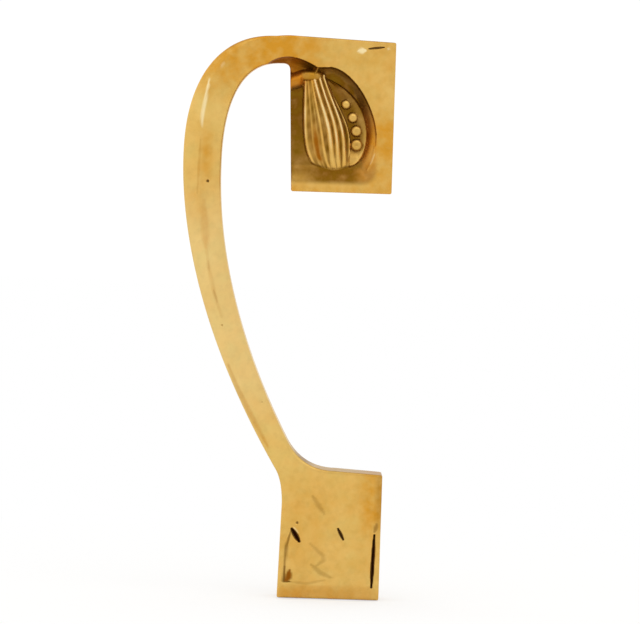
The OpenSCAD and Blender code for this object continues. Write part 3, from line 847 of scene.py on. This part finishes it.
def relief(s, p):
    """Depth of the decorated face in the top foot, and the tone, rust and rubbing on it."""
    z = p[:, 1]
    high, low = s.z_top - s.pocket_top, s.top_foot_z + s.pocket_low
    floor = blend(s.pocket_d, s.pocket_end_d, (high - z) / (high - low))
    sunk, tone, rust = wall(s, p)
    depth = floor * sunk
    on_ribs, rib_height, rib_tone, rib_rust, rubbed, outside = ribs(s, p, floor)
    on_husk, husk_height, husk_tone = husk(s, p)
    # Painted shade darkens the floor round the pod's edge, in the corner where the pod meets it
    corner = 1.05 * hump(np.clip(outside, 0, None), 1.1) * (z < s.stem[1]) * (sunk > 0.4)
    tone = np.maximum(tone, corner)

    ball, seed_tone, swelling = seeds(s, p)
    husk_tone = np.maximum(husk_tone, seed_tone) * (1 - 0.35 * swelling)
    raised = np.where(on_husk, husk_height + 0.3 * swelling, 0)
    tone = np.where(on_husk, husk_tone, tone)
    tone = np.where(ball > raised, seed_tone, tone)
    raised = np.maximum(raised, ball)
    over = on_ribs & (rib_height > raised)
    raised = np.where(over, rib_height, raised)
    tone, rust = np.where(over, rib_tone, tone), np.where(over, rib_rust, rust)
    rubbed = np.where(over, rubbed, 0)
    knob, knob_tone, knob_rust = collar(s, p, floor)
    on_knob = (knob > raised + KNOB_CLEAR) & (depth > 0.01)
    tone, rust = np.where(on_knob, knob_tone, tone), np.where(on_knob, knob_rust, rust)
    raised, rubbed = np.maximum(raised, knob), np.where(on_knob, 0, rubbed)
    surface = np.clip(floor - raised, LEAST_DEPTH, None)
    return np.minimum(depth, surface), np.clip(tone, 0, MOST_TONE), np.clip(rust, 0, 1), rubbed


def path_share(p, path, width):
    """How near each point lies to a path that tapers to its ends: 1 on it and 0 at its edge."""
    path = np.array(path, float)
    if len(path) == 1:
        return smooth(*MARK_REACH, np.linalg.norm(p - path[0], axis=1) / (width / 2))
    gap, place = distance_to_path(p, path)
    along = np.clip(place / (len(path) - 1), 0.04, 0.96)
    taper = blend(0.3, 1, np.sin(np.pi * along) ** 0.6)
    return smooth(*MARK_REACH, gap / (width / 2 * taper))


def marks(p):
    """Depth, dirt, tone and rust of the casting's flaws: gouges, pits and the faint lines beside them, and
    of a line of painted shade along the bar's ridge.
    """
    laid = np.zeros((4, len(p)))
    for mark in MARKS:
        share = path_share(p, mark.path, mark.width)
        amounts = np.array([mark.depth, mark.dirt, mark.tone, mark.rust])
        laid = np.maximum(laid, amounts[:, None] * share)
    return laid


def painted_highlights(p):
    """How bright each point is painted as a highlight."""
    return np.max([shine.strength * path_share(p, shine.path, shine.width) for shine in PAINTED_HIGHLIGHTS], axis=0)


def bar_middle_paler(p):
    """How much paler the bar is, most along its middle."""
    x, z = p.T
    on_bar = (x < ARM_CORNER[0]) | (z < ARM_CORNER[1])
    return BAR_PALER * smooth(*BAR_PALER_HIGH, z) * smooth(*BAR_PALER_LOW, z) * on_bar


def toning(p):
    """Where the polished face has toned to orange: the arm, and the sides of the feet by the door."""
    x, z = p.T
    spots = []
    for strength, place, half in FLANK_SPOTS:
        spots.append(strength * hump(np.linalg.norm((p - place) / half, axis=1), 1))
    return np.max([fade({"x": x, "z": z, "side": z}, **spot) for spot in TONED] + spots, axis=0)


def edge_tone(s, co):
    """Brown tone off the pocket: along the top edges, in the hollow of the fillet and by the door."""
    x, y, z = co.T
    fillet, ledge = inner_edge(s)[3:5]
    arm, crown = outer_edge(s)[:2]
    top = np.vstack([(0, s.z_top - s.top_fall), arm, crown[: CROWN_CELLS // 2]])
    rim = 0
    # It fades out where these edges run on along the bar
    for path in (np.vstack([fillet, ledge])[::-1], top):
        gap, place = distance_to_path(co[:, [0, 2]], path)
        run_out = smooth(len(path) - 1, len(path) - 1 - RIM_FADE_CELLS, place)
        rim = np.maximum(rim, RIM_TONE * run_out * smooth(0.8, 0.2, gap))
    # In the fillet it stays off both faces
    off_faces = smooth(-7.6, -7, y) * smooth(7.9, 7.4, y)
    away = np.hypot(x - HOLLOW_PLACE[0], z - s.low_foot_z - HOLLOW_PLACE[1])
    hollow = HOLLOW_TONE * off_faces * hump(away, HOLLOW_REACH)
    by_door = fade({"x": x, "z": z, "side": z}, **DOOR_SIDE)
    return np.max([hollow, by_door, rim], axis=0)


def thread_cutter(s, z):
    """What a tap takes out of one fixing hole: rings along the hole, drawn out into a helix."""
    deselect()
    bpy.ops.mesh.primitive_circle_add(vertices=TAP_SIDES, radius=s.hole_d / 2 * MM, fill_type="NGON")
    cutter = bpy.context.object
    bpy.ops.object.mode_set(mode="EDIT")
    # Two rings more than the hole is deep reach out past the mounting face
    for _ in range(round(s.hole_depth / THREAD_PITCH * TAP_RINGS) + 2):
        bpy.ops.mesh.select_mode(type="FACE")
        bpy.ops.mesh.extrude_region_move(
            TRANSFORM_OT_translate={"value": (0, 0, THREAD_PITCH / TAP_RINGS * MM)}
        )
    bpy.ops.mesh.select_all(action="SELECT")
    bpy.ops.mesh.normals_make_consistent(inside=False)
    bpy.ops.object.mode_set(mode="OBJECT")
    a, b, along = vertices(cutter).T
    turn = np.arctan2(b, a)
    # The tooth rises and falls once in each turn of the helix, half the pitch high
    tooth = np.abs((along / THREAD_PITCH - turn / (2 * np.pi)) % 1 - 0.5) * 2
    radius = s.hole_d / 2 + THREAD_PITCH / 2 * tooth * (along > 0)
    # Countersunk mouth at the mounting face
    radius = np.maximum(radius, s.hole_d / 2 + MOUTH - (s.hole_depth - along))
    rings = [along - s.hole_depth, radius * np.cos(turn), radius * np.sin(turn) + z]
    place_vertices(cutter, np.stack(rings, 1))
    return cutter


def drill(piece, s):
    """Taps the two fixing holes into the mounting face."""
    for side in (1, -1):
        cutter = thread_cutter(s, side * FIXING["spacing_y_mm"] / 2)
        take(piece)
        cut = piece.modifiers.new("tap", "BOOLEAN")
        cut.operation, cut.solver, cut.object = "DIFFERENCE", "MANIFOLD", cutter
        bpy.ops.object.modifier_apply(modifier=cut.name)
        take(cutter)
        bpy.ops.object.delete()


def decorate(piece, s):
    """Works the facets, the pocket with its pod and the flaws into the piece, and keeps their tones."""
    # The box round the pocket and the root of the arm
    pocket = (s.root_x - s.root_run - 2, s.top_foot_z + 1), (-3, s.z_top - 6)
    refine(piece, [pocket, *mark_boxes(MARK_ROOM, FAINT_DEPTH)])
    refine(piece, mark_boxes(MARK_ROOM_FINE, GOUGE_DEPTH))
    co = vertices(piece)
    flat = co[:, [0, 2]]
    across = np.hypot(co[:, 1], np.abs(co[:, 2]) - FIXING["spacing_y_mm"] / 2)
    in_hole = (co[:, 0] > -s.hole_depth - 1) & (across < s.hole_d / 2 + MOUTH + 0.1)
    # The tapped holes are left alone, and of all depths only those along the edges are for the back too
    front = (co[:, 1] < 0) & ~in_hole
    sunk, tone, rust, rubbed = relief(s, flat)
    gouge, dirt, mark_tone, mark_rust = marks(flat)
    depth = np.maximum(edge_depths(s, flat), np.maximum(sunk, gouge) * front)
    co[:, 1] *= np.where(in_hole, 1, (s.half_t - depth) / s.half_t)
    place_vertices(piece, co)
    brown = np.maximum(np.maximum(np.clip(tone, 0, 1), mark_tone) * front, edge_tone(s, co))
    keep(piece, "tone", brown)
    # Tone above 1 joins the gouges' dirt: the darkest painted shade, under the arm's root, round the pod
    # and along the husk, and the deepest grooves
    keep(piece, "grime_and_shade", np.maximum(dirt, np.clip(tone - 1, 0, 0.5)) * front)
    rusty = np.maximum(rust, mark_rust) * front
    keep(piece, "rust", rusty)
    keep(piece, "toned", np.maximum(toning(flat), rusty))
    # Painted highlights, with the ribs' crests and the paler middle of the bar
    keep(piece, "wear_and_highlight", np.maximum(np.maximum(painted_highlights(flat), rubbed) * front, bar_middle_paler(flat)))


class HANDLE_OT_cast(Operator):
    """Casts the handle: outline, rounded edges, facets, pocket and seed pod in one piece"""

    bl_idname = "handle.cast"
    bl_label = "Cast handle"
    bl_options = {"REGISTER", "UNDO"}

    def execute(self, context):
        s = sizes()
        piece = cast_blank(s)
        drill(piece, s)
        decorate(piece, s)
        take(piece)
        bpy.ops.object.shade_smooth_by_angle(angle=SHARP)
        piece.data.materials.clear()
        piece.data.materials.append(polished_cast_brass())
        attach(piece, "root")
        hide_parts("handle")
        return {"FINISHED"}


def add(tree, kind, inputs=None, **settings):
    """Adds a node with its settings; each input is given a value or the output that feeds it."""
    node = tree.nodes.new(kind)
    for name, value in settings.items():
        setattr(node, name, value)
    for name, value in (inputs or {}).items():
        if isinstance(value, bpy.types.NodeSocket):
            tree.links.new(value, node.inputs[name])
        else:
            node.inputs[name].default_value = value
    return node


# Sockets of the colour mix node, which share their names with those of its other kinds
MIX_FACTOR, MIX_A, MIX_B, MIX_RESULT = 0, 6, 7, 2
# Noises of the brass, with the size in mm of their features and their detail
NOISES = (("cloud", 20, 3), ("patch", 7, 1), ("mottle", 4, 3), ("speck", 2.4, 3), ("grain", 0.7, 2))
# Values of each noise between which its patches set in, and how much they count at most
PATCHES = (
    ("cloud", 0.38, 0.66, 1),
    ("mottle", 0.35, 0.65, 1),
    ("patch", 0.4, 0.62, 0.5),
    ("speck", 0.45, 0.75, 0.12),
)
# The polished skin's unevenness, from broad waves to fine pits: noise, strength and height in mm
BUMPS = (("cloud", 0.35, 0.8), ("mottle", 0.3, 0.18), ("grain", 0.12, 0.05))
POLISHED_ROUGHNESS = 0.27
# How the painted toning and the hollows' tone vary: the share that follows the mottles, and the rest
TONING_MOTTLE, HOLLOW_MOTTLE = (0.32, 0.46), (0.9, 0.55)
# How much toning is taken off everywhere, so that it shows in clouds
TONING_LESS = 0.03
WHITE = (1.0, 1.0, 1.0, 1.0)
# The lamp's place, the point that it looks at and its size in metres, and its power
LAMP_PLACE, LAMP_TARGET, LAMP_SIZE, LAMP_WATTS = (0.3, -0.9, 1.3), (-0.03, 0, 0), 1.6, 5
# Distances in metres between which the floor turns plain white, and how white it is at the handle
SHADOW_NEAR, SHADOW_FAR, LEAST_WHITE = 0.04, 0.3, 0.6


def polished_cast_brass():
    """Sand-cast yellow brass, polished by hand: a soft mirror, clouded orange, with dark hollows."""
    tones = bpy.context.scene.brass_colours
    material = bpy.data.materials.new("polished_cast_brass")
    material.use_nodes = True
    tree = material.node_tree
    tree.nodes.clear()
    place = add(tree, "ShaderNodeTexCoord").outputs["Object"]
    read = {}
    for name in ("tone", "grime_and_shade", "toned", "rust", "wear_and_highlight"):
        read[name] = add(tree, "ShaderNodeAttribute", attribute_name=name).outputs["Fac"]
    noise, patches = {}, {}
    for name, across, detail in NOISES:
        settings = {"Vector": place, "Scale": 1 / (across * MM), "Detail": detail, "Roughness": 0.55}
        noise[name] = add(tree, "ShaderNodeTexNoise", settings).outputs["Fac"]
    for name, low, high, most in PATCHES:
        settings = {"Value": noise[name], "From Min": low, "From Max": high, "To Max": most}
        patches[name] = add(tree, "ShaderNodeMapRange", settings).outputs["Result"]

    # Orange toning: strong where it is painted, and in faint clouds everywhere
    settings = {0: patches["mottle"], 1: TONING_MOTTLE[0], 2: TONING_MOTTLE[1]}
    broken = add(tree, "ShaderNodeMath", settings, operation="MULTIPLY_ADD").outputs[0]
    warm = -TONING_LESS
    for amount, share in ((patches["cloud"], 0.26), (patches["mottle"], 0.14), (read["toned"], broken)):
        settings = {0: amount, 1: share, 2: warm}
        warm = add(tree, "ShaderNodeMath", settings, operation="MULTIPLY_ADD").outputs[0]
    warm.node.use_clamp = True
    # What is left in the hollows: brown and olive tone in mottles, with rust in places
    old = tones.patina
    for amount, over in ((patches["mottle"], tones.olive), (read["rust"], tones.rust)):
        settings = {MIX_FACTOR: amount, MIX_A: old, MIX_B: over}
        old = add(tree, "ShaderNodeMix", settings, data_type="RGBA").outputs[MIX_RESULT]
    settings = {0: noise["mottle"], 1: HOLLOW_MOTTLE[0], 2: HOLLOW_MOTTLE[1]}
    uneven = add(tree, "ShaderNodeMath", settings, operation="MULTIPLY_ADD").outputs[0]
    # The tone read here is patina, with painted shade under the pocket's rim, in its corners, round the
    # pod, along the husk and on the knob
    settings = {0: read["tone"], 1: uneven}
    hollow = add(tree, "ShaderNodeMath", settings, operation="MULTIPLY", use_clamp=True).outputs[0]
    # One over the other: greener patches, toning, olive specks that wiping has left of the tarnish, rubbed
    # spots and painted highlights, the tone in the hollows with painted shade, and dirt with the darkest
    # painted shade
    face = tones.bright
    for amount, over in (
        (patches["patch"], tones.pale),
        (warm, tones.warm),
        (patches["speck"], tones.olive),
        (read["wear_and_highlight"], tones.wear_and_highlight),
        (hollow, old),
        (read["grime_and_shade"], tones.grime_and_shade),
    ):
        settings = {MIX_FACTOR: amount, MIX_A: face, MIX_B: over}
        face = add(tree, "ShaderNodeMix", settings, data_type="RGBA").outputs[MIX_RESULT]
    # Polish gives a soft mirror, which the hollows and the dirt have lost
    dull = POLISHED_ROUGHNESS
    for amount, share in ((hollow, 0.16), (noise["cloud"], 0.12), (read["grime_and_shade"], 0.4)):
        settings = {0: amount, 1: share, 2: dull}
        dull = add(tree, "ShaderNodeMath", settings, operation="MULTIPLY_ADD").outputs[0]
    normal = {}
    for name, strength, height in BUMPS:
        settings = {"Height": noise[name], "Strength": strength, "Distance": height * MM, **normal}
        normal = {"Normal": add(tree, "ShaderNodeBump", settings).outputs["Normal"]}
    settings = {"Base Color": face, "Metallic": 1.0, "Roughness": dull, **normal}
    shader = add(tree, "ShaderNodeBsdfPrincipled", settings)
    add(tree, "ShaderNodeOutputMaterial", {"Surface": shader.outputs["BSDF"]})
    return material


def pale_floor():
    """Matt white card: it takes a faint shadow near the handle and is plain white further away."""
    material = bpy.data.materials.new("matt_white_card")
    material.use_nodes = True
    tree = material.node_tree
    tree.nodes.clear()
    settings = {"Base Color": bpy.context.scene.brass_colours.floor, "Roughness": 0.9}
    card = add(tree, "ShaderNodeBsdfPrincipled", settings).outputs["BSDF"]
    place = add(tree, "ShaderNodeTexCoord").outputs["Object"]
    away = add(tree, "ShaderNodeVectorMath", {0: place}, operation="LENGTH").outputs["Value"]
    settings = {"Value": away, "From Min": SHADOW_NEAR, "From Max": SHADOW_FAR, "To Min": LEAST_WHITE}
    plain = add(tree, "ShaderNodeMapRange", settings).outputs["Result"]
    seen = add(tree, "ShaderNodeLightPath").outputs["Is Camera Ray"]
    share = add(tree, "ShaderNodeMath", {0: plain, 1: seen}, operation="MULTIPLY").outputs[0]
    white = add(tree, "ShaderNodeEmission", {"Color": WHITE, "Strength": 1.0}).outputs[0]
    mixed = add(tree, "ShaderNodeMixShader", {0: share, 1: card, 2: white}).outputs[0]
    add(tree, "ShaderNodeOutputMaterial", {"Surface": mixed})
    return material


def lay_floor(stage):
    """A large floor just under the handle."""
    deselect()
    bpy.ops.mesh.primitive_plane_add(size=stage.floor_size, location=(0, 0, LOW.z - stage.floor_drop))
    floor = bpy.context.object
    floor.name = "floor"
    floor.data.materials.append(pale_floor())


def light_sky():
    """White surroundings, a little greyer towards the camera and a little brighter on its left."""
    world = bpy.data.worlds.new("studio")
    bpy.context.scene.world = world
    world.use_nodes = True
    tree = world.node_tree
    tree.nodes.clear()
    way = add(tree, "ShaderNodeTexCoord").outputs["Generated"]
    aside = add(tree, "ShaderNodeSeparateXYZ", {"Vector": way}).outputs
    # The light from the left tells the facets from the face
    level = 1.0
    for axis, low, high, strength in (("Y", -1.0, 0.1, 0.92), ("X", -0.9, 0.2, 1.16)):
        settings = {"Value": aside[axis], "From Min": low, "From Max": high, "To Min": strength}
        part = add(tree, "ShaderNodeMapRange", settings).outputs["Result"]
        level = add(tree, "ShaderNodeMath", {0: part, 1: level}, operation="MULTIPLY").outputs[0]
    sky = add(tree, "ShaderNodeBackground", {"Color": WHITE, "Strength": level})
    add(tree, "ShaderNodeOutputWorld", {"Surface": sky.outputs["Background"]})


def hang_lamp():
    """A large soft lamp above the camera, which throws the faint shadow on the floor."""
    deselect()
    bpy.ops.object.light_add(type="AREA", location=LAMP_PLACE)
    lamp = bpy.context.object
    lamp.name = "key_lamp"
    lamp.data.shape = "SQUARE"
    lamp.data.size = LAMP_SIZE
    lamp.data.energy = LAMP_WATTS
    way = Vector(LAMP_TARGET) - Vector(LAMP_PLACE)
    lamp.rotation_euler = way.to_track_quat("-Z", "Y").to_euler()


def set_camera(stage):
    """The camera, where the photograph's was: a little above the middle, with a slight roll."""
    deselect()
    place = Vector((stage.camera_x, LOW.y - stage.distance, stage.camera_z))
    bpy.ops.object.camera_add(location=place)
    camera = bpy.context.object
    camera.name = "camera"
    camera.data.lens = stage.lens
    camera.rotation_euler = Euler((math.pi / 2 - stage.tilt, -stage.roll, -stage.pan), "XYZ")
    bpy.context.scene.camera = camera


class HANDLE_OT_stage(Operator):
    """Lays the floor, lights the handle and sets the camera"""

    bl_idname = "handle.stage"
    bl_label = "Set stage"
    bl_options = {"REGISTER", "UNDO"}

    def execute(self, context):
        stage = context.scene.stage_sizes
        lay_floor(stage)
        light_sky()
        hang_lamp()
        set_camera(stage)
        context.scene.view_settings.view_transform = "Standard"
        return {"FINISHED"}


class HANDLE_PT_panel(Panel):
    """The handle's steps in order, with the sizes and colours that can be changed"""

    bl_idname = "HANDLE_PT_panel"
    bl_label = "Cast Pull Handle"
    bl_space_type = "VIEW_3D"
    bl_region_type = "UI"
    bl_category = "Handle"

    def draw(self, context):
        column = self.layout.column()
        for operator in (HANDLE_OT_cast, HANDLE_OT_stage):
            column.operator(operator.bl_idname)
        for group_name, group in GROUPS:
            box = self.layout.box()
            for name in group.__annotations__:
                box.prop(getattr(context.scene, group_name), name)


GROUPS = (
    ("handle_sizes", HandleSizes),
    ("pod_sizes", PodSizes),
    ("brass_colours", BrassColours),
    ("stage_sizes", StageSizes),
)
CLASSES = [group for _, group in GROUPS] + [HANDLE_OT_cast, HANDLE_OT_stage, HANDLE_PT_panel]


def register():
    for cls in CLASSES:
        bpy.utils.register_class(cls)
    for name, group in GROUPS:
        setattr(bpy.types.Scene, name, PointerProperty(type=group))


def unregister():
    for name, _ in GROUPS:
        delattr(bpy.types.Scene, name)
    for cls in reversed(CLASSES):
        bpy.utils.unregister_class(cls)


def main():
    register()
    bpy.ops.handle.cast()
    bpy.ops.handle.stage()


if __name__ == "__main__":
    main()
